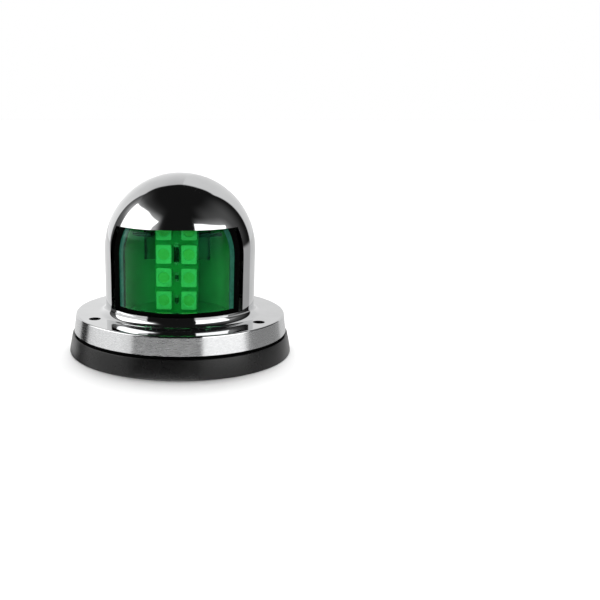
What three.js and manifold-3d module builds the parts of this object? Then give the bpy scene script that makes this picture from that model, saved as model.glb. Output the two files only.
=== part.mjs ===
// A dome-shaped navigation side light for a small boat: a drawn stainless steel cap with one
// square window, a green lens behind it, an LED board inside and a black base under the flange.
// Millimetres. +Z points up from the deck, -Y is the way the light shines.
import * as THREE from 'three';
import * as BufferGeometryUtils from 'three/addons/utils/BufferGeometryUtils.js';
import Module from 'manifold-3d';

const wasm = await Module();
wasm.setup();

// ---- Driving dimensions ----

// Sheet steel housing
const sheet = 0.8;              // thickness of the drawn steel
const domeRadius = 26.6;
const domeCentre = 36.2;        // height where the upright wall turns into the hemisphere
const flangeRadius = 37.4;
const flangeTop = 14.1;
const flangeEdge = 0.6;         // rounding of the flange's outer edge
const skirtRadius = 38.2;       // the turned-down skirt widens a little towards its bottom
const skirtBottom = 7.7;
const footCove = 2.6;           // hollow rounding where the dome meets the flange

// Window in the housing
const windowPlane = 14.0;       // the opening is everything further forward than this
const windowSill = 17.4;
const windowHead = 46.0;

// Deck screws: three through holes on one circle, the third one straight behind the dome
const deckHoleCircle = 32.6;
const deckHoleRadius = 2.05;
const deckHoleAngles = [60, 180, 300].map(THREE.MathUtils.degToRad);

// Base
const baseRadius = 40.0;
const footChamfer = 0.5;
const lipRadius = 38.85;
const lipWidth = 0.6;
const lipTop = 6.7;
const lipChamfer = 0.2;
const grooveFloor = 5.8;
const bossRadius = 24.5;        // raised middle that carries the light module
const bossTop = 13.0;
const postRadius = 4.0;         // spacer posts under the flange, one round each deck screw
const cableWellRadius = 11.0;   // hollow under the middle, where the leads gather
const cableWellRoof = 9.8;
const cableHoleRadius = 4.4;
const grommetBore = 2.0;
const grommetCollar = 1.6;      // thickness of the collar, and how far it stands out

// Screws that hold the light module to the base, set in from below
const plateScrewCircle = 18.0;
const plateScrewAngles = [0, 120, 240].map(THREE.MathUtils.degToRad);
const plateScrewHead = [2.7, 1.8];      // radius and height of the head
const plateScrewRadius = 1.4;
const counterboreDepth = 4.0;

// Light module
const plateRadius = 25.2;
const plateThickness = 3.0;
const wireHoleRadius = 4.0;
const lensRadius = 24.3;
const lensWall = 1.6;
const lensBottom = 18.4;
const lensPlane = 14.5;         // the lens ends on this upright plane, behind the window's edge
const sealProud = [0.2, 0.4];   // how far the seal reaches past the lens wall, inside and outside
const screenThickness = 2.2;
const screenHalfWidth = 21.3;
const screenOpeningHalfWidth = 17.4;
const baffleRadius = 21.0;      // two level wings of the screen, just inside the lens
const baffleTop = 43.7;
const baffleThickness = 1.0;
const baffleBack = 12.9;        // the wings end on this upright plane, clear of the bracket
const reflectorWall = 1.2;

// Light board and what is soldered to it
const boardFace = 13.5;         // how far forward of the dome's axis the board's front is
const boardThickness = 1.6;
const boardHalfWidth = 7.2;
const boardTop = 51.0;
const ledWidth = 5.6;
const ledHeight = 6.3;
const ledThickness = 1.5;
const ledDishDepth = 0.3;
const ledColumnOffset = 4.2;
const ledRowPitch = 7.9;
const ledFirstRow = 20.9;       // height of the lowest row's middle
const ledRows = 4;
const diodeSize = [1.7, 6.4, 1.6];      // width, height and thickness
const resistorSize = [1.3, 2.4, 0.6];

// Bracket behind the board
const bracketThickness = 4.0;
const bracketStemWidth = 12.0;
const bracketHeadWidth = 22.0;
const bracketHeadBottom = 34.5;
const bracketHeadDrop = 2.0;    // the head stops this far below the board's top
const bracketRib = 0.8;
const footDepth = 7.0;          // how far the foot stands out behind the stem
const footThickness = 2.2;

// Small screws of the board and of the bracket's foot
const smallScrewRadius = 0.95;
const smallScrewHead = [1.6, 1.1];
const boardScrewPlaces = [[-5.0, 49.7], [5.0, 49.7]];   // across and up
const footScrewOffset = 3.5;
const footScrewBite = 2.0;      // how deep they go into the module plate
const boardScrewBite = 1.0;     // how far they stop short of the bracket's back

// Fits between pieces
const gap = 0.15;               // room left between faces that meet
const sideClearance = 0.3;      // room left round a piece inside another
const segments = 56;            // facets of the large round pieces
const mediumSegments = 24;
const smallSegments = 16;       // facets of screws and their holes
const domeSteps = 9;            // facets of a quarter circle up the dome

// ---- Colours, as [colour, roughness, metalness] ----

const polishedSteel = [0xd5d7d9, 0.12, 1.0];
const blackRubber = [0x1b1b1c, 0.85, 0.0];
const blackPlastic = [0x161617, 0.6, 0.0];
const greenLens = [0x0b6a2c, 0.1, 0.0];
const whitePlastic = [0xd9dedb, 0.35, 0.0];
const boardLacquer = [0x1d5a34, 0.45, 0.0];
const ledPackage = [0xe9ecd8, 0.35, 0.0];
const componentBlack = [0x141414, 0.4, 0.0];
const zincScrew = [0xb9bcbf, 0.3, 1.0];

// ---- Tools for making solids ----

// A geometry becomes a solid body with its shared corners merged.
function solid(geometry) {
  const bare = geometry.clone();
  bare.deleteAttribute('normal');
  bare.deleteAttribute('uv');
  const merged = BufferGeometryUtils.mergeVertices(bare, 1e-4);
  const corners = merged.index.array;
  const kept = [];
  for (let i = 0; i < corners.length; i += 3) {
    const [a, b, c] = corners.slice(i, i + 3);
    if (a !== b && b !== c && c !== a) kept.push(a, b, c);
  }
  const mesh = new wasm.Mesh({
    numProp: 3,
    vertProperties: new Float32Array(merged.attributes.position.array),
    triVerts: new Uint32Array(kept),
  });
  return new wasm.Manifold(mesh);
}

function geometryOf(body) {
  const mesh = body.getMesh();
  const geometry = new THREE.BufferGeometry();
  geometry.setAttribute('position', new THREE.BufferAttribute(mesh.vertProperties, 3));
  geometry.setIndex(new THREE.BufferAttribute(mesh.triVerts, 1));
  geometry.computeVertexNormals();
  return geometry;
}

// A round body about the Z axis from an outline of [radius, height] points, listed so that
// the body lies to the left of the outline.
function revolve(outline, facets = segments) {
  const points = outline.map(([radius, height]) => new THREE.Vector2(radius, height));
  const geometry = new THREE.LatheGeometry(points, facets);
  geometry.rotateX(Math.PI / 2);
  return solid(geometry);
}

// Outline points on an arc, angles in degrees anticlockwise from the outward direction.
function arc(centreRadius, centreHeight, radius, from, to, steps) {
  return Array.from({ length: steps + 1 }, (_, i) => {
    const angle = THREE.MathUtils.degToRad(from + ((to - from) * i) / steps);
    return [centreRadius + radius * Math.cos(angle), centreHeight + radius * Math.sin(angle)];
  });
}

// A block between two opposite corners.
function block([x0, y0, z0], [x1, y1, z1]) {
  const geometry = new THREE.BoxGeometry(x1 - x0, y1 - y0, z1 - z0);
  geometry.translate((x0 + x1) / 2, (y0 + y1) / 2, (z0 + z1) / 2);
  return solid(geometry);
}

// An upright round bar standing on height z0.
function bar(radius, z0, z1, [x, y] = [0, 0], facets = smallSegments) {
  const geometry = new THREE.CylinderGeometry(radius, radius, z1 - z0, facets);
  geometry.rotateX(Math.PI / 2);
  geometry.translate(x, y, (z0 + z1) / 2);
  return solid(geometry);
}

// A round bar lying along Y.
function crossBar(radius, y0, y1, [x, z], facets = smallSegments) {
  const geometry = new THREE.CylinderGeometry(radius, radius, y1 - y0, facets);
  geometry.translate(x, (y0 + y1) / 2, z);
  return solid(geometry);
}

// The place on a circle at an angle measured from the front.
function onCircle(radius, angle) {
  return [radius * Math.sin(angle), -radius * Math.cos(angle)];
}

const far = 60;                 // larger than the whole light, for cutting bodies
const overshoot = 1;            // how far a cutting or joining body runs past the face it meets

function inFrontOf(plane) {
  return block([-far, -far, -far], [far, -plane, far]);
}

function behind(plane) {
  return block([-far, -plane, -far], [far, far, far]);
}

const light = new THREE.Group();

function addPart(name, body, [color, roughness, metalness]) {
  const material = new THREE.MeshStandardMaterial({ color, roughness, metalness });
  const mesh = new THREE.Mesh(geometryOf(body), material);
  mesh.name = name;
  light.add(mesh);
  return mesh;
}

// ---- Housing: dome, flange and turned-down skirt in one drawn sheet ----

function housing() {
  const coveCentre = [domeRadius + footCove, flangeTop + footCove];
  const body = revolve([
    ...arc(0, domeCentre, domeRadius - sheet, 90, 0, domeSteps),
    ...arc(...coveCentre, footCove + sheet, 180, 270, 4),
    [flangeRadius - sheet, flangeTop - sheet],
    [skirtRadius - sheet, skirtBottom],
    [skirtRadius, skirtBottom],
    ...arc(flangeRadius - flangeEdge, flangeTop - flangeEdge, flangeEdge, 0, 90, 3),
    ...arc(...coveCentre, footCove, 270, 180, 4),
    ...arc(0, domeCentre, domeRadius, 0, 90, domeSteps),
  ]);
  const opening = block([-far, -far, windowSill], [far, -windowPlane, windowHead]);
  const cut = body.subtract(opening);
  return deckHoleAngles.reduce((rest, angle) => {
    const place = onCircle(deckHoleCircle, angle);
    return rest.subtract(bar(deckHoleRadius, skirtBottom, flangeTop + overshoot, place));
  }, cut);
}

// ---- Base: moulded pad with a lip round the skirt, spacer posts and a cable well ----

function mountingBase() {
  const lipInside = lipRadius - lipWidth;
  let body = revolve([
    [cableWellRadius, cableWellRoof],
    [cableWellRadius, 0],
    [baseRadius - footChamfer, 0],
    [baseRadius, footChamfer],
    [lipRadius, lipTop - lipChamfer],
    [lipRadius - lipChamfer, lipTop],
    [lipInside, lipTop],
    [lipInside, grooveFloor],
    [bossRadius, grooveFloor],
    [bossRadius, bossTop],
    [cableHoleRadius, bossTop],
    [cableHoleRadius, cableWellRoof],
    [cableWellRadius, cableWellRoof],
  ]);
  for (const angle of deckHoleAngles) {
    const place = onCircle(deckHoleCircle, angle);
    body = body.add(bar(postRadius, grooveFloor - overshoot, flangeTop - sheet - gap, place));
    body = body.subtract(bar(deckHoleRadius + gap, -overshoot, flangeTop, place));
  }
  for (const angle of plateScrewAngles) {
    const place = onCircle(plateScrewCircle, angle);
    const [headRadius] = plateScrewHead;
    body = body.subtract(bar(headRadius + sideClearance, -overshoot, counterboreDepth, place));
    body = body.subtract(bar(plateScrewRadius + gap, 0, bossTop + overshoot, place));
  }
  return body;
}

// ---- Square-section ring that seals the skirt's edge against the base ----

function flangeGasket() {
  const inside = deckHoleCircle + postRadius + gap;
  const outside = lipRadius - lipWidth - sideClearance;
  const bottom = grooveFloor + gap;
  const top = skirtBottom - gap;
  return revolve([[inside, top], [inside, bottom], [outside, bottom], [outside, top], [inside, top]]);
}

// ---- Module plate: floor of the dome, screwed to the base from below ----

const plateBottom = bossTop + gap;
const plateTop = plateBottom + plateThickness;
const plateScrewTip = plateTop - 0.8;

function modulePlate() {
  let body = revolve([
    [wireHoleRadius, plateTop],
    [wireHoleRadius, plateBottom],
    [plateRadius, plateBottom],
    [plateRadius, plateTop],
    [wireHoleRadius, plateTop],
  ]);
  for (const angle of plateScrewAngles) {
    const place = onCircle(plateScrewCircle, angle);
    body = body.subtract(
      bar(plateScrewRadius + gap, plateBottom - overshoot, plateScrewTip + gap, place),
    );
  }
  for (const place of footScrewPlaces) {
    const blindEnd = plateTop - footScrewBite - gap;
    body = body.subtract(bar(smallScrewRadius + gap, blindEnd, plateTop + overshoot, place));
  }
  return body;
}

function plateScrew(angle) {
  const place = onCircle(plateScrewCircle, angle);
  const [headRadius, headHeight] = plateScrewHead;
  const headTop = counterboreDepth - gap;
  const head = bar(headRadius, headTop - headHeight, headTop, place);
  return head.add(bar(plateScrewRadius, headTop - overshoot, plateScrewTip, place));
}

// ---- Cable grommet in the roof of the well ----

function cableGrommet() {
  const neck = cableHoleRadius - gap;
  const collar = cableHoleRadius + grommetCollar;
  const collarTop = cableWellRoof - gap;
  const collarBottom = collarTop - grommetCollar;
  return revolve([
    [grommetBore, bossTop],
    [grommetBore, collarBottom],
    [collar, collarBottom],
    [collar, collarTop],
    [neck, collarTop],
    [neck, bossTop],
    [grommetBore, bossTop],
  ], mediumSegments);
}

// ---- Lens: upright round wall under a quarter ball, cut off on one upright plane ----

// A wall of even thickness, upright below the given height and a half ball above it.
function domeShell(radius, wall, bottom) {
  return revolve([
    ...arc(0, domeCentre, radius - wall, 90, 0, domeSteps),
    [radius - wall, bottom],
    [radius, bottom],
    ...arc(0, domeCentre, radius, 0, 90, domeSteps),
  ]);
}

function lens() {
  return domeShell(lensRadius, lensWall, lensBottom).intersect(inFrontOf(lensPlane));
}

function lensSeal() {
  const inside = lensRadius - lensWall - sealProud[0];
  const outside = lensRadius + sealProud[1];
  const top = lensBottom - gap;
  const bottom = plateTop + gap;
  const ring = revolve([[inside, top], [inside, bottom], [outside, bottom], [outside, top], [inside, top]]);
  return ring.intersect(inFrontOf(lensPlane));
}

// ---- Inner screen: black arch that frames the lens, with a level baffle either side of the board ----

const screenFront = lensPlane - sideClearance;
const screenBack = screenFront - screenThickness;

// An arch in the XZ plane, made thick along Y.
function arch(halfWidth, bottom, yFront, yBack) {
  const outline = new THREE.Shape();
  outline.moveTo(-halfWidth, bottom);
  outline.lineTo(halfWidth, bottom);
  outline.lineTo(halfWidth, domeCentre);
  outline.absarc(0, domeCentre, halfWidth, 0, Math.PI, false);
  outline.closePath();
  const options = { depth: yBack - yFront, bevelEnabled: false, curveSegments: 18 };
  const geometry = new THREE.ExtrudeGeometry(outline, options);
  geometry.rotateX(Math.PI / 2);
  geometry.translate(0, yBack, 0);
  return solid(geometry);
}

function innerScreen() {
  const plate = arch(screenHalfWidth, plateTop + gap, -screenFront, -screenBack);
  const holeBottom = plateTop - overshoot;
  const hole = arch(screenOpeningHalfWidth, holeBottom, -screenFront - overshoot, -screenBack + overshoot);
  const notchHalf = boardHalfWidth + sideClearance;
  const baffle = bar(baffleRadius, baffleTop - baffleThickness, baffleTop, [0, 0], segments);
  const wings = baffle
    .intersect(inFrontOf(baffleBack))
    .subtract(block([-notchHalf, -far, 0], [notchHalf, 0, far]));
  return plate.subtract(hole).add(wings);
}

// ---- Reflector: white trough behind the board, a half ball on a half tube ----

const reflectorPlane = screenBack - gap;

function reflector() {
  const outside = screenOpeningHalfWidth + reflectorWall;
  const shell = domeShell(outside, reflectorWall, plateTop + gap);
  const half = shell.intersect(behind(0));
  return half.translate([0, -reflectorPlane, 0]);
}

// ---- Light board, its eight lamps and small parts ----

const boardBack = boardFace - boardThickness;

function ledBoard() {
  const board = block(
    [-boardHalfWidth, -boardFace, plateTop + gap],
    [boardHalfWidth, -boardBack, boardTop],
  );
  return boardScrewPlaces.reduce(
    (rest, place) => rest.subtract(crossBar(smallScrewRadius + gap, -far, far, place)),
    board,
  );
}

// One square lamp package with a shallow round dish in its face.
function led(x, z) {
  const front = -boardFace - gap - ledThickness;
  const body = block(
    [x - ledWidth / 2, front, z - ledHeight / 2],
    [x + ledWidth / 2, -boardFace - gap, z + ledHeight / 2],
  );
  const dish = crossBar(0.38 * ledWidth, front - overshoot, front + ledDishDepth, [x, z]);
  return body.subtract(dish);
}

function ledHeights() {
  return Array.from({ length: ledRows }, (_, row) => ledFirstRow + row * ledRowPitch);
}

// A plain chip standing on the board between the two columns of lamps.
function chip([width, height, thickness], z) {
  return block(
    [-width / 2, -boardFace - gap - thickness, z - height / 2],
    [width / 2, -boardFace - gap, z + height / 2],
  );
}

// ---- Bracket: T-shaped holder behind the board, with a foot on the module plate ----

const bracketFront = boardBack - gap;
const bracketBack = bracketFront - bracketThickness;
const footScrewPlaces = [-footScrewOffset, footScrewOffset].map((x) => [x, -bracketBack + footDepth / 2]);

function boardBracket() {
  const bottom = plateTop + gap;
  const footBack = -bracketBack + footDepth;
  const headTop = boardTop - bracketHeadDrop;
  const half = bracketHeadWidth / 2;
  const stemHalf = bracketStemWidth / 2;
  let body = block([-stemHalf, -bracketFront, bottom], [stemHalf, -bracketBack, boardTop]);
  body = body.add(block([-half, -bracketFront, bracketHeadBottom], [half, -bracketBack, headTop]));
  body = body.add(block([-stemHalf, -bracketFront, bottom], [stemHalf, footBack, bottom + footThickness]));
  for (const side of [-1, 1]) {
    const edges = [side * half, side * (half - bracketRib)].sort((a, b) => a - b);
    const front = -bracketFront - bracketRib;
    body = body.add(block([edges[0], front, bracketHeadBottom], [edges[1], -bracketBack, headTop]));
  }
  for (const place of boardScrewPlaces) {
    body = body.subtract(crossBar(smallScrewRadius + gap, -far, -bracketBack - boardScrewBite, place));
  }
  for (const place of footScrewPlaces) {
    const top = bottom + footThickness + overshoot;
    body = body.subtract(bar(smallScrewRadius + gap, bottom - overshoot, top, place));
  }
  return body;
}

function boardScrew(place) {
  const [headRadius, headHeight] = smallScrewHead;
  const seat = -boardFace - gap;
  const tip = -bracketBack - boardScrewBite - gap;
  const head = crossBar(headRadius, seat - headHeight, seat, place);
  return head.add(crossBar(smallScrewRadius, seat - headHeight / 2, tip, place));
}

function footScrew(place) {
  const [headRadius, headHeight] = smallScrewHead;
  const seat = plateTop + gap + footThickness + gap;
  const head = bar(headRadius, seat, seat + headHeight, place);
  return head.add(bar(smallScrewRadius, plateTop - footScrewBite, seat + headHeight / 2, place));
}

// ---- Assembly ----

addPart('mounting_base', mountingBase(), blackRubber);
addPart('flange_gasket', flangeGasket(), blackRubber);
addPart('housing', housing(), polishedSteel);
addPart('module_plate', modulePlate(), whitePlastic);
addPart('lens', lens(), greenLens);
addPart('lens_seal', lensSeal(), blackRubber);
addPart('inner_screen', innerScreen(), blackPlastic);
addPart('reflector', reflector(), whitePlastic);
addPart('led_board', ledBoard(), boardLacquer);
addPart('board_bracket', boardBracket(), blackPlastic);
ledHeights().forEach((z, row) => {
  addPart(`led_left_${row + 1}`, led(-ledColumnOffset, z), ledPackage);
  addPart(`led_right_${row + 1}`, led(ledColumnOffset, z), ledPackage);
});
addPart('protection_diode', chip(diodeSize, ledFirstRow + 2 * ledRowPitch), componentBlack);
addPart('resistor_1', chip(resistorSize, ledFirstRow + ledRowPitch), componentBlack);
addPart('resistor_2', chip(resistorSize, ledFirstRow), componentBlack);
boardScrewPlaces.forEach((place, i) => addPart(`board_screw_${i + 1}`, boardScrew(place), zincScrew));
footScrewPlaces.forEach((place, i) => addPart(`bracket_screw_${i + 1}`, footScrew(place), zincScrew));
plateScrewAngles.forEach((angle, i) => addPart(`plate_screw_${i + 1}`, plateScrew(angle), zincScrew));
addPart('cable_grommet', cableGrommet(), blackRubber);

export default light;
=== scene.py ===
import math

import bmesh
import bpy
from mathutils import Matrix, Vector


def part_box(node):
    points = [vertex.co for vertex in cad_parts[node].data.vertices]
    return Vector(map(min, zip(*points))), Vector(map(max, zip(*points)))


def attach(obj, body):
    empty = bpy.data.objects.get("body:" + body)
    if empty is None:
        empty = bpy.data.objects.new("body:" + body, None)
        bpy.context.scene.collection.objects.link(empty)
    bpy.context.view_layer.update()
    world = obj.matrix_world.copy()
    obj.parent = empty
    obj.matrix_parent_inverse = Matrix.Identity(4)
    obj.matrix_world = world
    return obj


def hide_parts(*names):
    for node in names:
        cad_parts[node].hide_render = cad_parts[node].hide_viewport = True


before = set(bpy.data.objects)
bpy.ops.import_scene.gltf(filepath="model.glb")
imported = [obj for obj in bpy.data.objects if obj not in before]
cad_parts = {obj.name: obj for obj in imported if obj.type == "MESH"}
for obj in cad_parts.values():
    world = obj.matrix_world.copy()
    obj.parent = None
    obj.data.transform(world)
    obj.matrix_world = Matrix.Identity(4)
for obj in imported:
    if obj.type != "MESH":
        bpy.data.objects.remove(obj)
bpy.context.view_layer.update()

# A dome-shaped navigation light on a pale studio floor. Metres, +Z up, the window faces -Y.

MM = 0.001


def low(node):
    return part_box(node)[0]


def high(node):
    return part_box(node)[1]


def middle(node):
    return (low(node) + high(node)) / 2


# ---- Sizes: outer limits come from the frame, wall thicknesses and roundings are set here ----

gap = 0.15 * MM                         # room left between faces that meet
overshoot = 1.0 * MM                    # how far a cutting or joining body reaches past a face
touching = 0.0001 * MM                  # points this close are one point

sheet = 0.8 * MM
dome_radius = 26.6 * MM
dome_top = high("housing")[2]
dome_centre = dome_top - dome_radius
flange_radius = 37.4 * MM
skirt_radius = high("housing")[0]
skirt_bottom = low("housing")[2]
flange_top = 14.1 * MM
flange_edge = 0.6 * MM
foot_cove = 2.6 * MM

window_plane = 14.0 * MM
window_sill = 17.4 * MM
window_head = 46.0 * MM
cut_lean = 1.0 * MM                     # the window's cut sides turn in from the front by this much

deck_hole_circle = 32.6 * MM
deck_hole_radius = 2.05 * MM
deck_hole_turns = [math.radians(a) for a in (60, 180, 300)]

base_radius = high("mounting_base")[0]
lip_radius = 38.85 * MM
lip_width = 0.6 * MM
lip_top = 6.7 * MM
groove_floor = 5.8 * MM
boss_radius = 24.5 * MM
boss_top = 13.0 * MM
post_radius = 4.0 * MM
cable_well_radius = 11.0 * MM
cable_well_roof = 9.8 * MM
cable_hole_radius = 4.4 * MM
counterbore_radius = 3.0 * MM           # takes the head of a plate screw
counterbore_depth = 4.0 * MM
plate_screw_hole = 1.55 * MM

lens_radius = -low("lens")[1]
lens_plane = -high("lens")[1]
lens_bottom = low("lens")[2]
lens_wall = 1.6 * MM

screen_half_width = high("inner_screen")[0]
screen_opening = 17.4 * MM
screen_thickness = 2.2 * MM
baffle_radius = -low("inner_screen")[1]
baffle_top = 43.7 * MM
baffle_thickness = 1.0 * MM
baffle_back = 12.9 * MM
baffle_notch = high("led_board")[0] + 2 * gap
baffle_notch_top = dome_centre + 8.0 * MM

lamps = sorted(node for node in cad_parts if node.startswith(("led_left", "led_right")))
lead_pitch = 1.7 * MM                   # between the three leads on either side of a lamp

small_screw_hole = 1.1 * MM
small_screw = {"head_radius": 1.6 * MM, "head_height": 1.1 * MM, "shank_radius": 0.95 * MM}
plate_screw = {"head_radius": 2.7 * MM, "head_height": 1.8 * MM, "shank_radius": 1.4 * MM}


# ---- Mesh tools ----

def arc(centre_radius, centre_height, radius, start, end, steps):
    """Outline points (radius, height) on an arc; degrees, anticlockwise from outward."""
    points = []
    for i in range(steps + 1):
        angle = math.radians(start + (end - start) * i / steps)
        points.append((centre_radius + radius * math.cos(angle), centre_height + radius * math.sin(angle)))
    return points


def on_circle(radius, turn):
    """The place on a circle at an angle from the front."""
    return radius * math.sin(turn), -radius * math.cos(turn)


def shade(mesh):
    """Smooth all over, but for edges sharper than 30 degrees."""
    mesh.shade_smooth()
    mesh.set_sharp_from_angle(angle=math.radians(30))


def new_object(name, bm, materials):
    """A shaded mesh object made from bm."""
    bmesh.ops.remove_doubles(bm, verts=bm.verts, dist=touching)
    bmesh.ops.recalc_face_normals(bm, faces=bm.faces)
    mesh = bpy.data.meshes.new(name)
    bm.to_mesh(mesh)
    bm.free()
    shade(mesh)
    for made in materials:
        mesh.materials.append(made)
    piece = bpy.data.objects.new(name, mesh)
    bpy.context.collection.objects.link(piece)
    return piece


def stands_for(piece, node):
    """Hangs a finished piece on the root body and hides the node that it replaces."""
    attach(piece, "root")
    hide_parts(node)


def join_rings(bm, a, b):
    """A strip of faces between two rings of points; a ring may be a single point."""
    count = max(len(a), len(b))
    if count == 1:
        return
    for i in range(count):
        j = (i + 1) % count
        corners = [a[i % len(a)], a[j % len(a)], b[j % len(b)], b[i % len(b)]]
        bm.faces.new(list(dict.fromkeys(corners)))


def revolve(bm, outline, steps=192, at=(0, 0)):
    """Adds an outline of (radius, height) turned about an upright axis, its ends joined."""
    rings = []
    for radius, height in outline:
        if radius < touching:
            rings.append([bm.verts.new((*at, height))])
            continue
        ring = []
        for i in range(steps):
            x, y = on_circle(radius, math.tau * i / steps)
            ring.append(bm.verts.new((at[0] + x, at[1] + y, height)))
        rings.append(ring)
    for a, b in zip(rings, rings[1:] + rings[:1]):
        join_rings(bm, a, b)
    return [vertex for ring in rings for vertex in ring]


def block(bm, near, far, material=0):
    """Adds a block between two opposite corners."""
    made = bmesh.ops.create_cube(bm, size=1.0)["verts"]
    size = [b - a for a, b in zip(near, far)]
    centre = [(a + b) / 2 for a, b in zip(near, far)]
    bmesh.ops.scale(bm, vec=size, verts=made)
    bmesh.ops.translate(bm, vec=centre, verts=made)
    for face in {face for vertex in made for face in vertex.link_faces}:
        face.material_index = material


def upright_bar(bm, radius, bottom, top, at, steps=48):
    """Adds a round bar along Z."""
    return revolve(bm, [(0, bottom), (radius, bottom), (radius, top), (0, top)], steps, at=at)


def level_bar(bm, radius, front, back, across, up):
    """Adds a round bar along Y."""
    made = upright_bar(bm, radius, front, back, (0, 0), 32)
    bmesh.ops.rotate(bm, cent=(0, 0, 0), matrix=Matrix.Rotation(-math.pi / 2, 3, "X"), verts=made)
    bmesh.ops.translate(bm, vec=(across, 0, up), verts=made)


def round_edges(piece, width, segments=3, angle=35):
    """Rounds the piece's sharp edges, so that they catch the light."""
    rounding = piece.modifiers.new("rounding", "BEVEL")
    rounding.width = width
    rounding.segments = segments
    rounding.limit_method = "ANGLE"
    rounding.angle_limit = math.radians(angle)
    rounding.harden_normals = True


def combine(piece, other, operation):
    """Joins the bodies in the other mesh to the piece, or cuts them out of it."""
    tool = new_object(piece.name + "_tool", other, [])
    modifier = piece.modifiers.new("combine", "BOOLEAN")
    modifier.object = tool
    modifier.operation = operation
    modifier.solver = "EXACT"
    graph = bpy.context.evaluated_depsgraph_get()
    mesh = bpy.data.meshes.new_from_object(piece.evaluated_get(graph))
    piece.modifiers.remove(modifier)
    piece.data = mesh
    bpy.data.objects.remove(tool)
    shade(mesh)


# ---- Material tools ----

noise_span = (0.3, 0.7)                 # nearly all of a noise pattern lies between these values


class Shader:
    """A new material's node tree, with short ways to add procedural patterns."""

    def __init__(self, name):
        self.material = bpy.data.materials.new(name)
        self.material.use_nodes = True
        self.tree = self.material.node_tree
        self.surface = self.tree.nodes["Principled BSDF"]

    def set(self, **values):
        """Sets the surface's own inputs, spaces in their names written as underscores."""
        for name, value in values.items():
            self.surface.inputs[name.replace("_", " ")].default_value = value

    def node(self, kind, **settings):
        made = self.tree.nodes.new(kind)
        for name, value in settings.items():
            setattr(made, name, value)
        return made

    def link(self, output, target):
        self.tree.links.new(output, target)

    def feed(self, output, name):
        """Drives one of the surface's own inputs."""
        self.link(output, self.surface.inputs[name])

    def noise(self, size, detail=3.0, stretch=(1.0, 1.0, 1.0)):
        """Noise from 0 to 1 with grains of that size in metres, drawn out along the axes."""
        place = self.node("ShaderNodeTexCoord")
        mapping = self.node("ShaderNodeMapping")
        mapping.inputs["Scale"].default_value = [1 / (size * s) for s in stretch]
        pattern = self.node("ShaderNodeTexNoise")
        pattern.inputs["Scale"].default_value = 1.0
        pattern.inputs["Detail"].default_value = detail
        self.link(place.outputs["Object"], mapping.inputs["Vector"])
        self.link(mapping.outputs["Vector"], pattern.inputs["Vector"])
        return pattern.outputs["Fac"]

    def between(self, value, start, end):
        """Turns a pattern into a number from start to end."""
        scaled = self.node("ShaderNodeMapRange")
        scaled.inputs["From Min"].default_value = noise_span[0]
        scaled.inputs["From Max"].default_value = noise_span[1]
        scaled.inputs["To Min"].default_value = start
        scaled.inputs["To Max"].default_value = end
        self.link(value, scaled.inputs["Value"])
        return scaled.outputs["Result"]

    def colours(self, value, start, end, span=noise_span):
        """Turns a pattern into a colour between two colours."""
        ramp = self.node("ShaderNodeValToRGB")
        ramp.color_ramp.elements[0].position = span[0]
        ramp.color_ramp.elements[1].position = span[1]
        ramp.color_ramp.elements[0].color = (*start, 1)
        ramp.color_ramp.elements[1].color = (*end, 1)
        self.link(value, ramp.inputs["Fac"])
        return ramp.outputs["Color"]

    def bump(self, height, depth):
        """Raises the surface by up to depth where the pattern is 1."""
        made = self.node("ShaderNodeBump")
        made.inputs["Distance"].default_value = depth
        made.inputs["Strength"].default_value = 1.0
        self.link(height, made.inputs["Height"])
        self.feed(made.outputs["Normal"], "Normal")


# ---- Materials ----

def polished_steel():
    """Mirror finish with a faint cloud and the slightest waviness."""
    s = Shader("polished_steel")
    s.set(Metallic=1.0)
    cloud = s.noise(9 * MM, detail=4)
    s.feed(s.colours(cloud, (0.62, 0.625, 0.63), (0.68, 0.685, 0.69)), "Base Color")
    s.feed(s.between(s.noise(5 * MM, detail=6), 0.03, 0.06), "Roughness")
    s.bump(s.noise(3 * MM, detail=2), 0.0008 * MM)
    return s.material


def brushed_steel():
    """Brushed round the skirt, so that reflections smear up and down but not sideways."""
    s = Shader("brushed_steel")
    s.set(Metallic=1.0, Anisotropic=0.97, Anisotropic_Rotation=0.25)
    lines = s.noise(0.14 * MM, detail=4, stretch=(25, 25, 1))
    grain = s.noise(0.5 * MM, detail=4, stretch=(2, 2, 1))
    s.feed(s.colours(grain, (0.60, 0.605, 0.61), (0.68, 0.685, 0.69)), "Base Color")
    s.feed(s.between(lines, 0.30, 0.23), "Roughness")
    around = s.node("ShaderNodeTangent", direction_type="RADIAL", axis="Z")
    s.feed(around.outputs["Tangent"], "Tangent")
    s.bump(lines, 0.0015 * MM)
    return s.material


def moulded(name, darkness, roughness, grain=0.22 * MM, depth=0.012 * MM, gloss=0.25, speckled=0.7):
    """Grained grey or black; speckled is how far its grains depart from the grey, as a share of it."""
    s = Shader(name)
    s.set(Specular_IOR_Level=gloss)
    speckle = s.noise(grain, detail=3)
    dark, pale = darkness * (1 - speckled), darkness * (1 + speckled)
    s.feed(s.colours(speckle, (dark,) * 3, (pale,) * 3, (0.35, 0.65)), "Base Color")
    s.feed(s.between(s.noise(14 * MM, detail=4), *roughness), "Roughness")
    s.bump(speckle, depth)
    return s.material


def reflector_plastic_painted_light():
    """Satin white plastic painted greyish green: the green is painted light from the green lens around it,
    the grey is painted shade.
    """
    s = Shader("reflector_plastic")
    cloud = s.noise(12 * MM, detail=3)
    # painted light and shade: white plastic greyed and tinted green for the light and shade inside the
    # lens
    s.feed(s.colours(cloud, (0.40, 0.52, 0.44), (0.48, 0.60, 0.52)), "Base Color")
    s.feed(s.between(s.noise(0.5 * MM), 0.35, 0.5), "Roughness")
    s.bump(s.noise(0.4 * MM), 0.004 * MM)
    return s.material


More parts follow.
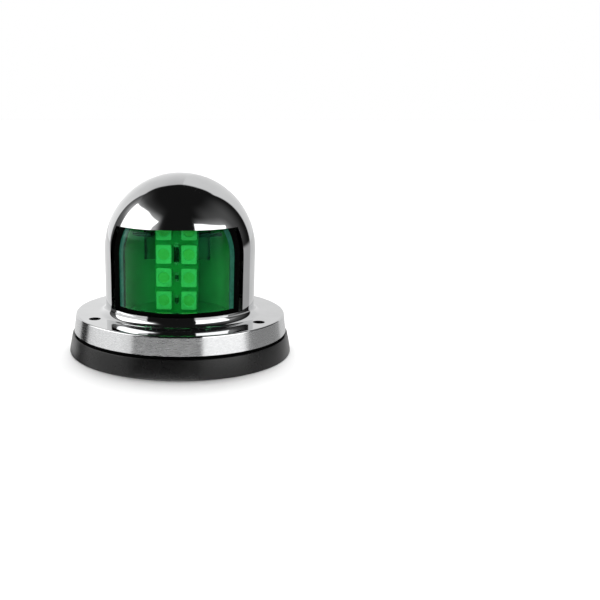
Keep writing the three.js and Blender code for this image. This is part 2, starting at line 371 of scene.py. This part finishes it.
def green_lens():
    """Clear green moulding. Rays from lamps pass straight through it, tinted the same way."""
    s = Shader("green_lens")
    s.set(Transmission_Weight=1.0, IOR=1.45, Base_Color=(0.15, 0.62, 0.27, 1))
    s.set(Specular_Tint=(0.03, 0.20, 0.14, 1))
    s.feed(s.between(s.noise(8 * MM, detail=2), 0.0, 0.02), "Roughness")
    s.bump(s.noise(6 * MM, detail=2), 0.002 * MM)
    clear = s.node("ShaderNodeBsdfTransparent")
    clear.inputs["Color"].default_value = (0.36, 0.80, 0.50, 1)
    path = s.node("ShaderNodeLightPath")
    mix = s.node("ShaderNodeMixShader")
    s.link(path.outputs["Is Shadow Ray"], mix.inputs["Fac"])
    s.link(s.surface.outputs["BSDF"], mix.inputs[1])
    s.link(clear.outputs["BSDF"], mix.inputs[2])
    s.link(mix.outputs["Shader"], s.tree.nodes["Material Output"].inputs["Surface"])
    return s.material


def frosted_edge():
    """The lens wall's cut end, ground dull."""
    s = Shader("lens_edge")
    s.feed(s.colours(s.noise(1.2 * MM, detail=4), (0.05, 0.10, 0.17), (0.10, 0.16, 0.25)), "Base Color")
    s.feed(s.between(s.noise(0.3 * MM), 0.5, 0.7), "Roughness")
    s.bump(s.noise(0.25 * MM), 0.01 * MM)
    return s.material


def board_lacquer():
    """Green solder mask with the weave of the board showing through."""
    s = Shader("board_lacquer")
    weave = s.noise(0.5 * MM, detail=2)
    s.feed(s.colours(weave, (0.08, 0.27, 0.14), (0.11, 0.34, 0.18)), "Base Color")
    s.feed(s.between(s.noise(2 * MM), 0.3, 0.45), "Roughness")
    s.bump(weave, 0.004 * MM)
    return s.material


def led_white():
    """The moulded package of a lamp."""
    s = Shader("led_package")
    s.feed(s.colours(s.noise(1.5 * MM), (0.72, 0.74, 0.64), (0.82, 0.83, 0.74)), "Base Color")
    s.feed(s.between(s.noise(0.3 * MM), 0.35, 0.5), "Roughness")
    s.bump(s.noise(0.2 * MM), 0.003 * MM)
    return s.material


def led_phosphor():
    """The cloudy yellow face of a lamp."""
    s = Shader("led_phosphor")
    s.feed(s.colours(s.noise(0.9 * MM), (0.66, 0.60, 0.36), (0.76, 0.70, 0.46)), "Base Color")
    s.feed(s.between(s.noise(0.5 * MM), 0.15, 0.3), "Roughness")
    s.bump(s.noise(0.8 * MM), 0.01 * MM)
    return s.material


def tin(name, dark, pale):
    """Dull plated metal."""
    s = Shader(name)
    s.set(Metallic=1.0)
    s.feed(s.colours(s.noise(0.8 * MM), dark, pale), "Base Color")
    s.feed(s.between(s.noise(0.5 * MM), 0.2, 0.4), "Roughness")
    s.bump(s.noise(0.6 * MM), 0.01 * MM)
    return s.material


def studio_floor():
    """Plain pale grey, nearly even."""
    s = Shader("studio_floor")
    s.set(Roughness=0.9, Specular_IOR_Level=0.0)
    s.feed(s.colours(s.noise(0.4), (0.80, 0.80, 0.80), (0.82, 0.82, 0.82)), "Base Color")
    return s.material


steel = polished_steel()
brushed = brushed_steel()
base_black = moulded(
    "base_plastic", 0.006, roughness=(0.22, 0.34), grain=0.3 * MM, depth=0.03 * MM, gloss=0.4,
)
screen_black = moulded("screen_plastic", 0.0012, roughness=(0.6, 0.8), gloss=0.02)
rubber = moulded("gasket_rubber", 0.0015, roughness=(0.75, 0.9), grain=0.4 * MM, gloss=0.02)
bracket_grey = moulded(
    "bracket_plastic", 0.09, roughness=(0.4, 0.55), depth=0.003 * MM, speckled=0.1,
)
chip_black, resistor_glaze = (
    moulded(name, darkness, roughness=(0.3, 0.45), grain=0.1 * MM, depth=0.003 * MM)
    for name, darkness in (("component_black", 0.004), ("resistor_glaze", 0.04))
)
# white is the reflector's plastic, with painted green light and painted shade in its colour
white = reflector_plastic_painted_light()
lens_green = green_lens()
lens_edge = frosted_edge()
lacquer = board_lacquer()
package_white = led_white()
phosphor = led_phosphor()
tinned = tin("tinned_metal", (0.30, 0.30, 0.29), (0.42, 0.42, 0.41))
zinc = tin("zinc_plate", (0.46, 0.47, 0.48), (0.64, 0.65, 0.67))


# ---- Housing ----

def window_turn(radius, height, lean=0):
    """The angle from the front where the window's upright edge crosses this height."""
    level = min(max(height, window_sill), window_head)
    return math.acos((window_plane - lean) / wall_radius(radius, level))


def wall_radius(radius, height):
    """How far from the axis the wall of a dome of that radius is at a height."""
    return math.sqrt(radius ** 2 - max(height - dome_centre, 0.0) ** 2)


def housing_mesh():
    """Rings up the dome whose columns bend so that two of them follow the window's edges."""
    columns = 240
    edge_column = 39
    wall_rows = 8
    ball_rows = 10
    crown_rows = 32
    cove_rows = 8
    tiny = 0.05 * MM                    # rows this close to a bend keep the flats beside it flat
    wall_step = (dome_centre - window_sill) / wall_rows
    ball_step = (window_head - dome_centre) / ball_rows
    heights = [window_sill + wall_step * i for i in range(wall_rows + 1)]
    heights += [dome_centre + ball_step * i for i in range(1, ball_rows + 1)]
    cove_centre = (dome_radius + foot_cove, flange_top + foot_cove)
    edge_centre = (flange_radius - flange_edge, flange_top - flange_edge)
    bm = bmesh.new()

    def side(radius):
        """Outline rows of one side of the dome, beside the window and above it."""
        head_angle = math.degrees(math.asin((window_head - dome_centre) / radius))
        beside = [(wall_radius(radius, z), z) for z in heights]
        above = arc(0, dome_centre, radius, head_angle, 90, crown_rows)[1:]
        return beside, above

    def skirt(inset, share):
        """A point that share of the way up the leaning skirt."""
        radius = skirt_radius + (flange_radius - skirt_radius) * share - inset
        return radius, skirt_bottom + (edge_centre[1] - skirt_bottom) * share

    outer_beside, outer_above = side(dome_radius)
    inner_beside, inner_above = side(dome_radius - sheet)
    near_top = 0.99
    outer_below = [
        skirt(0, 0),
        skirt(0, near_top),
        *arc(*edge_centre, flange_edge, 0, 90, cove_rows),
        (edge_centre[0] - tiny, flange_top),
        (cove_centre[0] + tiny, flange_top),
        *arc(*cove_centre, foot_cove, 270, 180, cove_rows),
        (dome_radius, cove_centre[1] + tiny),
    ]
    inner_below = [
        skirt(sheet, 0),
        skirt(sheet, near_top),
        (flange_radius - sheet - tiny, flange_top - sheet),
        (cove_centre[0] + tiny, flange_top - sheet),
        *arc(*cove_centre, foot_cove + sheet, 270, 180, cove_rows),
        (dome_radius - sheet, cove_centre[1] + tiny),
    ]

    def rings_of(rows, radius, lean=0):
        """The rows as rings of points, with the edge columns on the window's upright edges."""
        rings = []
        for row_radius, height in rows:
            if row_radius < touching:
                rings.append([bm.verts.new((0, 0, height))])
                continue
            edge = window_turn(radius, height, lean)
            plain = math.tau * edge_column / columns
            ring = []
            for k in range(columns):
                turn = math.tau * k / columns
                signed = turn if turn <= math.pi else turn - math.tau
                if abs(signed) <= plain:
                    bent = signed * edge / plain
                else:
                    rest = (abs(signed) - plain) / (math.pi - plain)
                    bent = math.copysign(edge + rest * (math.pi - edge), signed)
                ring.append(bm.verts.new((*on_circle(row_radius, bent), height)))
            rings.append(ring)
        return rings

    window_columns = [k % columns for k in range(-edge_column, edge_column)]
    wall_columns = [k for k in range(columns) if k not in window_columns]
    outer = rings_of(outer_below + outer_beside + outer_above, dome_radius)
    inner = rings_of(inner_below + inner_beside + inner_above, dome_radius - sheet, cut_lean)
    for rings, below in ((outer, outer_below), (inner, inner_below)):
        first, last = len(below), len(below) + len(heights) - 1
        for i, (a, b) in enumerate(zip(rings, rings[1:])):
            if not first <= i < last:
                join_rings(bm, a, b)
                continue
            for k in wall_columns:
                j = (k + 1) % columns
                bm.faces.new((a[k], a[j], b[j], b[k]))
    join_rings(bm, outer[0], inner[0])

    outer_rows = outer[len(outer_below):len(outer_below) + len(heights)]
    inner_rows = inner[len(inner_below):len(inner_below) + len(heights)]
    for k in window_columns:
        j = (k + 1) % columns
        for a, b in ((outer_rows[0], inner_rows[0]), (outer_rows[-1], inner_rows[-1])):
            bm.faces.new((a[k], a[j], b[j], b[k]))
    for k in (edge_column, columns - edge_column):
        for i in range(len(heights) - 1):
            a, b = outer_rows[i], outer_rows[i + 1]
            c, d = inner_rows[i], inner_rows[i + 1]
            bm.faces.new((a[k], b[k], d[k], c[k]))
    return bm


def make_housing():
    """The cap: one folded sheet, mirror-polished but for the brushed face of its skirt."""
    piece = new_object("housing_shell", housing_mesh(), [steel, brushed])
    skirt_from = flange_radius - 0.2 * MM
    holes = bmesh.new()
    for turn in deck_hole_turns:
        at = on_circle(deck_hole_circle, turn)
        upright_bar(holes, deck_hole_radius, flange_top - 3 * sheet, flange_top + sheet, at)
    combine(piece, holes, "DIFFERENCE")
    for face in piece.data.polygons:
        out = math.hypot(face.center.x, face.center.y)
        outside = face.normal.dot(face.center) > 0
        if outside and out > skirt_from and face.center.z < flange_top - flange_edge:
            face.material_index = 1
    round_edges(piece, 0.25 * MM)
    stands_for(piece, "housing")


# ---- Base, with the ring that seals the skirt against it ----

def make_base():
    """A pad with a lip round the skirt, three posts under the flange and a boss in the middle."""
    foot = 0.6 * MM
    lip_edge = 0.25 * MM
    overlap = 0.1 * MM                  # between the two widths of a plate screw's hole
    bm = bmesh.new()
    revolve(bm, [
        (cable_well_radius, 0),
        *arc(base_radius - foot, foot, foot, 270, 360, 4),
        *arc(lip_radius - lip_edge, lip_top - lip_edge, lip_edge, 0, 90, 4),
        (lip_radius - lip_width, lip_top),
        (lip_radius - lip_width, groove_floor),
        (boss_radius, groove_floor),
        (boss_radius, boss_top),
        (cable_hole_radius, boss_top),
        (cable_hole_radius, cable_well_roof),
        (cable_well_radius, cable_well_roof),
    ])
    piece = new_object("base_moulding", bm, [base_black])
    posts = bmesh.new()
    holes = bmesh.new()
    for turn in deck_hole_turns:
        at = on_circle(deck_hole_circle, turn)
        upright_bar(posts, post_radius, groove_floor - overshoot, flange_top - sheet - gap, at)
        upright_bar(holes, deck_hole_radius + gap, -overshoot, flange_top, at)
    for i in (1, 2, 3):
        at = middle(f"plate_screw_{i}")[:2]
        upright_bar(holes, counterbore_radius, -overshoot, counterbore_depth, at, 32)
        upright_bar(holes, plate_screw_hole, counterbore_depth - overlap, boss_top + overshoot, at, 32)
    combine(piece, posts, "UNION")
    combine(piece, holes, "DIFFERENCE")
    round_edges(piece, 0.15 * MM, segments=2)
    stands_for(piece, "mounting_base")


def make_gasket():
    """The square ring in the groove under the skirt, outside the posts."""
    bottom, top = low("flange_gasket")[2], high("flange_gasket")[2]
    outer = high("flange_gasket")[0]
    inner = deck_hole_circle + post_radius + gap
    bm = bmesh.new()
    revolve(bm, [(inner, bottom), (outer, bottom), (outer, top), (inner, top)])
    piece = new_object("skirt_gasket", bm, [rubber])
    round_edges(piece, 0.15 * MM, segments=2)
    stands_for(piece, "flange_gasket")


# ---- Lens, its seal, the screen and the reflector ----

def dome_shell(bm, radius, wall, bottom, steps=24):
    """A wall of even thickness, upright and then half a ball, closed along its bottom edge."""
    levels = 6
    upright = [bottom + (dome_centre - bottom) * i / levels for i in range(levels)]
    inside = [(radius - wall, z) for z in upright] + arc(0, dome_centre, radius - wall, 0, 90, steps)
    outside = arc(0, dome_centre, radius, 90, 0, steps) + [(radius, z) for z in reversed(upright)]
    revolve(bm, inside + outside)


def cut_off(bm, plane, keep_front=True, material=0):
    """Cuts every body off on the upright plane at that distance in front of the axis."""
    everything = bm.verts[:] + bm.edges[:] + bm.faces[:]
    cut = bmesh.ops.bisect_plane(
        bm, geom=everything, dist=touching, plane_co=(0, -plane, 0), plane_no=(0, 1, 0),
        clear_outer=keep_front, clear_inner=not keep_front,
    )
    rim = [e for e in cut["geom_cut"] if isinstance(e, bmesh.types.BMEdge)]
    filled = bmesh.ops.triangle_fill(bm, use_beauty=True, edges=rim)
    for face in filled["geom"]:
        if isinstance(face, bmesh.types.BMFace):
            face.material_index = material


def make_lens():
    """A clear wall under a quarter ball, its cut ends frosted."""
    bm = bmesh.new()
    dome_shell(bm, lens_radius, lens_wall, lens_bottom)
    cut_off(bm, lens_plane, material=1)
    piece = new_object("lens_moulding", bm, [lens_green, lens_edge])
    stands_for(piece, "lens")


def make_seal():
    """The strip that the lens stands on."""
    seal_inset = 0.2 * MM
    bottom, top = low("lens_seal")[2], high("lens_seal")[2]
    inside = lens_radius - lens_wall - seal_inset
    outside = -low("lens_seal")[1]
    bm = bmesh.new()
    revolve(bm, [(inside, bottom), (outside, bottom), (outside, top), (inside, top)])
    cut_off(bm, lens_plane)
    piece = new_object("seal_strip", bm, [rubber])
    round_edges(piece, 0.12 * MM, segments=2)
    stands_for(piece, "lens_seal")


def arch_line(half_width, bottom, steps=48):
    """Up one side, over the half circle and down the other side of an arch."""
    points = [(half_width, bottom)]
    for i in range(steps + 1):
        angle = math.pi * i / steps
        points.append((half_width * math.cos(angle), dome_centre + half_width * math.sin(angle)))
    points.append((-half_width, bottom))
    return points


def make_screen():
    """An arch behind the lens's cut ends, with a level wing on either side above the lamps."""
    back = high("inner_screen")[1]
    front = back - screen_thickness
    bottom = low("inner_screen")[2]
    bm = bmesh.new()
    lines = []
    for half_width in (screen_half_width, screen_opening):
        for y in (front, back):
            lines.append([bm.verts.new((x, y, z)) for x, z in arch_line(half_width, bottom)])
    outer_front, outer_back, inner_front, inner_back = lines
    strips = (
        (outer_front, inner_front), (outer_back, inner_back),
        (outer_front, outer_back), (inner_front, inner_back),
    )
    for a, b in strips:
        for i in range(len(a) - 1):
            bm.faces.new((a[i], a[i + 1], b[i + 1], b[i]))
    for i in (0, -1):
        bm.faces.new((outer_front[i], inner_front[i], inner_back[i], outer_back[i]))
    piece = new_object("screen_arch", bm, [screen_black])
    baffle = bmesh.new()
    upright_bar(baffle, baffle_radius, baffle_top - baffle_thickness, baffle_top, (0, 0), 192)
    cut_off(baffle, baffle_back)
    combine(piece, baffle, "UNION")
    notch = bmesh.new()
    block(notch, (-baffle_notch, -dome_radius, 0), (baffle_notch, 0, baffle_notch_top))
    combine(piece, notch, "DIFFERENCE")
    round_edges(piece, 0.15 * MM, segments=2)
    stands_for(piece, "inner_screen")


def make_reflector():
    """A half-round trough behind the board, closed by a quarter ball."""
    front = low("reflector")[1]
    radius = high("reflector")[0]
    bm = bmesh.new()
    dome_shell(bm, radius, radius - screen_opening, low("reflector")[2])
    cut_off(bm, 0, keep_front=False)
    bmesh.ops.translate(bm, vec=(0, front, 0), verts=bm.verts)
    piece = new_object("reflector_trough", bm, [white])
    stands_for(piece, "reflector")


def make_module_plate():
    """The pale floor that the light module stands on."""
    bottom, top = low("module_plate")[2], high("module_plate")[2]
    radius = high("module_plate")[0]
    wire_hole = 4.0 * MM
    bm = bmesh.new()
    revolve(bm, [(wire_hole, bottom), (radius, bottom), (radius, top), (wire_hole, top)])
    piece = new_object("module_floor", bm, [white])
    holes = bmesh.new()
    for i in (1, 2, 3):
        at = middle(f"plate_screw_{i}")[:2]
        tip = high(f"plate_screw_{i}")[2]
        upright_bar(holes, plate_screw_hole, bottom - overshoot, tip + gap, at, 32)
    for i in (1, 2):
        at = middle(f"bracket_screw_{i}")[:2]
        tip = low(f"bracket_screw_{i}")[2]
        upright_bar(holes, small_screw_hole, tip - gap, top + overshoot, at, 32)
    combine(piece, holes, "DIFFERENCE")
    round_edges(piece, 0.25 * MM, segments=2)
    stands_for(piece, "module_plate")


# ---- Light board and what is soldered to it ----

def solder_pad(bm, across, up, half_size, face):
    """A flat tinned pad on the front of the board."""
    thickness = 0.1 * MM
    half_width, half_height = half_size
    near = (across - half_width, face - thickness, up - half_height)
    block(bm, near, (across + half_width, face, up + half_height), material=1)


def make_board():
    """The upright board with its screw holes and tinned pads."""
    corner, far = low("led_board"), high("led_board")
    face = corner[1]
    lead_pad = (0.45 * MM, 0.5 * MM)
    lead_pad_offset = 2.2 * MM
    chip_pad = (0.6 * MM, 0.45 * MM)
    bm = bmesh.new()
    block(bm, corner, far)
    piece = new_object("light_board", bm, [lacquer, tinned])
    holes = bmesh.new()
    for i in (1, 2):
        across, _, up = middle(f"board_screw_{i}")
        level_bar(holes, small_screw_hole, face - overshoot, far[1] + overshoot, across, up)
    combine(piece, holes, "DIFFERENCE")
    pads = bmesh.new()
    pads.from_mesh(piece.data)
    for node in lamps:
        centre = middle(node)
        for side in (-1, 1):
            for row in (-1, 0, 1):
                across = centre[0] + side * lead_pad_offset
                solder_pad(pads, across, centre[2] + row * lead_pitch, lead_pad, face)
    for node in ("protection_diode", "resistor_1", "resistor_2"):
        for end in (low(node)[2], high(node)[2]):
            solder_pad(pads, middle(node)[0], end, chip_pad, face)
    pads.to_mesh(piece.data)
    pads.free()
    shade(piece.data)
    round_edges(piece, 0.05 * MM, segments=2)
    stands_for(piece, "led_board")


def make_led(node):
    """A white package with a round window of phosphor, and three bent leads on either side."""
    corner, far = low(node), high(node)
    centre = middle(node)
    front = corner[1]
    back = far[1]
    window = 2.15 * MM
    window_floor = 0.86 * window
    window_depth = 0.3 * MM
    lead = 0.25 * MM                    # how far a lead stands out from the package
    lead_root = 0.4 * MM
    lead_half_width = 0.4 * MM
    lead_thickness = 0.55 * MM
    half = [(far[0] - corner[0]) / 2 - lead, (far[2] - corner[2]) / 2]
    steps = 48
    bm = bmesh.new()

    def loop(radius, y):
        """A ring of points facing forward; with no radius, on the package's square outline."""
        ring = []
        for i in range(steps):
            angle = math.tau * (i + 0.5) / steps
            x, z = math.cos(angle), math.sin(angle)
            if radius is None:
                reach = min(half[0] / max(abs(x), 1e-9), half[1] / max(abs(z), 1e-9))
            else:
                reach = radius
            ring.append(bm.verts.new((centre[0] + x * reach, y, centre[2] + z * reach)))
        return ring

    rings = [
        loop(None, back),
        loop(None, front),
        loop(window, front),
        loop(window_floor, front + window_depth),
    ]
    for a, b in zip(rings, rings[1:]):
        join_rings(bm, a, b)
    bm.faces.new(rings[0])
    bm.faces.new(rings[-1]).material_index = 1
    for side in (-1, 1):
        for row in (-1, 0, 1):
            inner = centre[0] + side * (half[0] - lead_root)
            outer = centre[0] + side * (half[0] + lead)
            up = centre[2] + row * lead_pitch
            near = (min(inner, outer), back - lead_thickness, up - lead_half_width)
            block(bm, near, (max(inner, outer), back, up + lead_half_width), material=2)
    piece = new_object(node + "_lamp", bm, [package_white, phosphor, tinned])
    round_edges(piece, 0.08 * MM, segments=2, angle=50)
    stands_for(piece, node)


def make_chip(node, name, end, body=chip_black):
    """A moulded block between two metal ends of that length, standing on the board."""
    corner, far = low(node), high(node)
    waist = 0.12 * MM
    bm = bmesh.new()
    block(bm, (corner[0], corner[1], corner[2] + end), (far[0], far[1], far[2] - end))
    for bottom, top in ((corner[2], corner[2] + end + waist), (far[2] - end - waist, far[2])):
        near = (corner[0] + waist, corner[1] + waist, bottom)
        block(bm, near, (far[0] - waist, far[1] - waist, top), material=1)
    piece = new_object(name, bm, [body, tinned])
    round_edges(piece, 0.08 * MM, segments=2)
    stands_for(piece, node)


def make_bracket():
    """A T-shaped holder behind the board, with a foot and two ribs beside the board painted black as
    shadow gaps.
    """
    corner, far = low("board_bracket"), high("board_bracket")
    rib = 0.8 * MM
    front = corner[1] + rib
    thick = 4.0 * MM
    stem = 6.0 * MM
    head_bottom = 34.5 * MM
    head_top = far[2] - 2.0 * MM
    foot = 2.2 * MM
    tip_room = 0.7 * MM                 # left in the holes past the tips of the board's screws
    bm = bmesh.new()
    block(bm, (-stem, front, corner[2]), (stem, front + thick, far[2]))
    piece = new_object("bracket_moulding", bm, [bracket_grey, chip_black])
    added = [
        ((corner[0], front, head_bottom), (far[0], front + thick, head_top)),
        ((-stem, front, corner[2]), (stem, far[1], corner[2] + foot)),
        ((corner[0], corner[1], head_bottom), (corner[0] + rib, front + thick, head_top)),
        ((far[0] - rib, corner[1], head_bottom), (far[0], front + thick, head_top)),
    ]
    for near, end in added:
        extra = bmesh.new()
        block(extra, near, end)
        combine(piece, extra, "UNION")
    holes = bmesh.new()
    for i in (1, 2):
        across, _, up = middle(f"board_screw_{i}")
        head, tip = low(f"board_screw_{i}")[1], high(f"board_screw_{i}")[1]
        level_bar(holes, small_screw_hole, head, tip + tip_room, across, up)
        at = middle(f"bracket_screw_{i}")[:2]
        upright_bar(holes, small_screw_hole, corner[2] - overshoot, corner[2] + foot + overshoot, at, 32)
    combine(piece, holes, "DIFFERENCE")
    # painted shadow: the ribs' faces beside the board take the black, standing for shadow gaps at the
    # sides of the head
    for face in piece.data.polygons:
        painted_shadow_gap = abs(face.center.x) > far[0] - rib - gap
        if painted_shadow_gap and face.center.z > head_bottom - gap:
            face.material_index = 1
    round_edges(piece, 0.2 * MM, segments=2)
    stands_for(piece, "board_bracket")


def make_screw(node, heading, head_radius, head_height, shank_radius):
    """A domed head with a cross recess on a threaded shank; heading is where the head looks."""
    corner, far = low(node), high(node)
    length = max(far[i] - corner[i] for i in range(3))
    top = length / 2
    seat = top - head_height
    pitch = 0.5 * MM
    depth = 0.16 * shank_radius
    crown = 0.45 * head_height
    crown_steps = 6
    outline = [(0, -top)]
    threads = int((seat + top) / pitch) - 1
    for i in range(threads):            # each thread is a valley and then a crest
        up = -top + pitch * (i + 0.5)
        outline += [(shank_radius - depth, up - pitch * 0.3), (shank_radius, up + pitch * 0.2)]
    outline += [(shank_radius - depth, seat), (head_radius, seat), (head_radius, top - crown)]
    for i in range(1, crown_steps):
        share = i / crown_steps
        rim = head_radius * math.cos(share * math.pi / 2)
        outline.append((rim, top - crown * (1 - math.sqrt(share))))
    outline.append((0, top))
    bm = bmesh.new()
    revolve(bm, outline, 48)
    piece = new_object(node + "_screw", bm, [zinc])
    arm, width = 0.62 * head_radius, 0.15 * head_radius
    recess_floor = top - 0.6 * head_height
    for across, up in ((arm, width), (width, arm)):
        recess = bmesh.new()
        block(recess, (-across, -up, recess_floor), (across, up, top + overshoot))
        combine(piece, recess, "DIFFERENCE")
    turn = Vector(heading).to_track_quat("Z", "Y").to_matrix().to_4x4()
    piece.data.transform(Matrix.Translation(middle(node)) @ turn)
    round_edges(piece, 0.05 * MM, segments=2, angle=50)
    stands_for(piece, node)


def make_grommet():
    """A rubber ring in the base's roof, for the two supply leads."""
    corner, far = low("cable_grommet"), high("cable_grommet")
    bore = 2.0 * MM
    neck = cable_hole_radius - gap
    collar = far[0]
    collar_top = cable_well_roof - gap
    edge = 0.5 * MM
    bm = bmesh.new()
    revolve(bm, [
        (bore, far[2]),
        (bore, corner[2] + 2 * edge),
        *arc(bore + edge, corner[2] + edge, edge, 180, 270, 4),
        *arc(collar - edge, corner[2] + edge, edge, 270, 360, 4),
        (collar, collar_top),
        (neck, collar_top),
        (neck, far[2]),
    ], 96)
    piece = new_object("cable_seal", bm, [rubber])
    round_edges(piece, 0.15 * MM, segments=2, angle=50)
    stands_for(piece, "cable_grommet")


make_housing()
make_base()
make_gasket()
make_lens()
make_seal()
make_screen()
make_reflector()
make_module_plate()
make_board()
for lamp in lamps:
    make_led(lamp)
make_chip("protection_diode", "diode_chip", 0.7 * MM)
make_chip("resistor_1", "resistor_chip_1", 0.4 * MM, resistor_glaze)
make_chip("resistor_2", "resistor_chip_2", 0.4 * MM, resistor_glaze)
make_bracket()
for number in (1, 2):
    make_screw(f"board_screw_{number}", (0, -1, 0), **small_screw)
    make_screw(f"bracket_screw_{number}", (0, 0, 1), **small_screw)
for number in (1, 2, 3):
    make_screw(f"plate_screw_{number}", (0, 0, -1), **plate_screw)
make_grommet()


# ---- Studio ----

def make_floor():
    """A plain floor that the steel doesn't mirror: make_world paints what it mirrors there."""
    half_width = 12.0
    bm = bmesh.new()
    bmesh.ops.create_grid(bm, x_segments=4, y_segments=4, size=half_width)
    floor = new_object("studio_floor", bm, [studio_floor()])
    floor.visible_glossy = False


class Surroundings:
    """Node tools for painting the room that the polished steel mirrors."""

    def __init__(self):
        world = bpy.data.worlds.new("studio")
        bpy.context.scene.world = world
        world.use_nodes = True
        world.cycles_visibility.diffuse = False     # the lamps light what isn't shiny
        self.tree = world.node_tree
        place = self.node("ShaderNodeTexCoord")
        split = self.node("ShaderNodeSeparateXYZ")
        self.tree.links.new(place.outputs["Generated"], split.inputs["Vector"])
        x, y, z = split.outputs
        to_degrees = 180 / math.pi
        forward = self.math("MULTIPLY", y, -1.0)
        self.turn = self.math("MULTIPLY", self.math("ARCTAN2", x, forward), to_degrees)
        self.rise = self.math("MULTIPLY", self.math("ARCSINE", z), to_degrees)

    def node(self, kind, **settings):
        made = self.tree.nodes.new(kind)
        for name, value in settings.items():
            setattr(made, name, value)
        return made

    def math(self, operation, *values):
        made = self.node("ShaderNodeMath", operation=operation)
        for i, value in enumerate(values):
            if isinstance(value, (int, float)):
                made.inputs[i].default_value = value
            else:
                self.tree.links.new(value, made.inputs[i])
        return made.outputs["Value"]

    def rising(self, value, soft):
        """0 below minus soft, 1 above plus soft."""
        made = self.node("ShaderNodeMapRange", interpolation_type="SMOOTHSTEP")
        made.inputs["From Min"].default_value = -soft
        made.inputs["From Max"].default_value = soft
        self.tree.links.new(value, made.inputs["Value"])
        return made.outputs["Result"]

    def patch(self, corners, soft=1.0):
        """1 inside a convex outline of (turn, rise) corners in degrees, listed clockwise."""
        mask = 1.0
        for (x0, y0), (x1, y1) in zip(corners, corners[1:] + corners[:1]):
            length = math.hypot(x1 - x0, y1 - y0)
            across, up = (y1 - y0) / length, -(x1 - x0) / length
            offset = -(across * x0 + up * y0)
            inside = self.math("MULTIPLY_ADD", self.turn, across, offset)
            inside = self.math("MULTIPLY_ADD", self.rise, up, inside)
            mask = self.math("MULTIPLY", self.rising(inside, soft), mask)
        return mask


def make_world():
    """A dark room: a pale wall behind the light and a softbox on either side of the camera.

    Only mirror and lens rays meet it: the camera sees plain white and the lamps light the rest.
    """
    room = Surroundings()
    fading = room.math("MULTIPLY_ADD", room.rise, -0.0065, 1.02)    # darker higher up
    wall_left = [(-200, -2), (-200, 61), (-165, 61), (-152, 58), (-130.5, 45), (-128, -2)]
    patches = [
        # the pale wall behind, left and right of the object
        (room.patch(wall_left, 1.3), fading),
        (room.patch([(138, -2), (135, 48), (152, 58), (165, 61), (200, 61), (200, -2)], 1.8), 0.82),
        # the left softbox, the light that spills above it, and the dark card beside it
        (room.patch([(-109, 8), (-114.5, 41), (-90, 48.3), (-74, 50.3), (-39, 45), (-62, 15)]), 1.9),
        (room.patch([(-109, -3), (-109, 12), (-80, 26), (-46, 26), (-46, -3)]), 0.85),
        (room.patch([(-118, 26), (-118, 42), (-76, 53), (-37, 50), (-37, 26)], 7), 0.45),
        (room.patch([(-131, 20), (-131, 46), (-76, 58), (-40, 54), (-40, 20)], 16), 0.13),
        (room.patch([(-127, -2), (-127, 44), (-117, 44), (-111, 18), (-111, -2)], 1.5), 0.08),
        # the right softbox and its spill
        (room.patch([(27, -3), (32, 44), (48, 41.5), (90, 28), (74, -3)]), 1.9),
        (room.patch([(36, 20), (36, 46), (92, 32), (100, 10)], 9), 0.32),
        (room.patch([(52, -2), (52, 56), (118, 50), (118, -2)], 16), 0.09),
        # the table, lighter on the left
        (room.patch([(-200, -16), (-200, -2), (-127, -2), (-127, -16)], 2), 0.82),
        (room.patch([(-111, -90), (-111, -2), (-46, -2), (-46, -90)], 2), 0.8),
        (room.patch([(-46, -90), (-46, -20), (27, -20), (27, -90)], 2), 2.8),
        (room.patch([(27, -90), (27, -2), (78, -2), (78, -90)], 2), 0.8),
        (room.patch([(78, -90), (78, -2), (138, -2), (138, -90)], 2), 0.44),
        (room.patch([(138, -24), (138, -2), (200, -2), (200, -24)], 2), 0.70),
    ]
    total = 0.010                       # what is left of the light in the dark parts
    for mask, strength in patches:
        total = room.math("MULTIPLY_ADD", mask, strength, total)
    path = room.node("ShaderNodeLightPath")
    seen = room.node("ShaderNodeMix", data_type="FLOAT")
    room.tree.links.new(path.outputs["Is Camera Ray"], seen.inputs["Factor"])
    room.tree.links.new(total, seen.inputs["A"])
    seen.inputs["B"].default_value = 1.0
    background = room.tree.nodes["Background"]
    room.tree.links.new(seen.outputs["Result"], background.inputs["Strength"])
    background.inputs["Color"].default_value = (1, 1, 1, 1)


def from_side(turn, rise, distance):
    """A place seen from the object at that turn from the front and rise, in degrees."""
    x, y = on_circle(distance * math.cos(math.radians(rise)), math.radians(turn))
    return Vector((x, y, distance * math.sin(math.radians(rise))))


def aim(thing, place, target):
    """Puts a lamp or camera at a place, looking at the target."""
    bpy.context.collection.objects.link(thing)
    thing.location = place
    thing.rotation_euler = (Vector(target) - place).to_track_quat("-Z", "Y").to_euler()


def soft_lamp(name, kind, size, power, place, target=(0, 0, 0.03)):
    """A lamp that doesn't show in the steel; its size is degrees for a sun, metres for an area."""
    data = bpy.data.lights.new(name, kind)
    if kind == "SUN":
        data.angle = math.radians(size)
    else:
        data.size = size
    data.energy = power
    lamp = bpy.data.objects.new(name, data)
    aim(lamp, place, target)
    lamp.visible_glossy = False
    lamp.visible_camera = False


def make_camera():
    """Close by, a little to the right and above, looking at the middle of the base."""
    turn, rise, distance = 4.6, 16.1, 0.294
    data = bpy.data.cameras.new("camera")
    camera = bpy.data.objects.new("camera", data)
    aim(camera, from_side(turn, rise, distance), (0, 0, 0))
    bpy.context.scene.camera = camera
    data.sensor_width = 36
    data.lens = 48
    data.shift_x = 0.2
    data.shift_y = 0.078
    data.clip_start = 0.01


make_floor()
make_world()
soft_lamp("sky_left", "SUN", 60, 3.4, from_side(-145, 46, 1))
soft_lamp("sky_right", "SUN", 60, 3.4, from_side(145, 46, 1))
soft_lamp("front", "AREA", 0.9, 9.5, from_side(-12, 20, 1.3))
make_camera()
bpy.context.scene.view_settings.view_transform = "Standard"
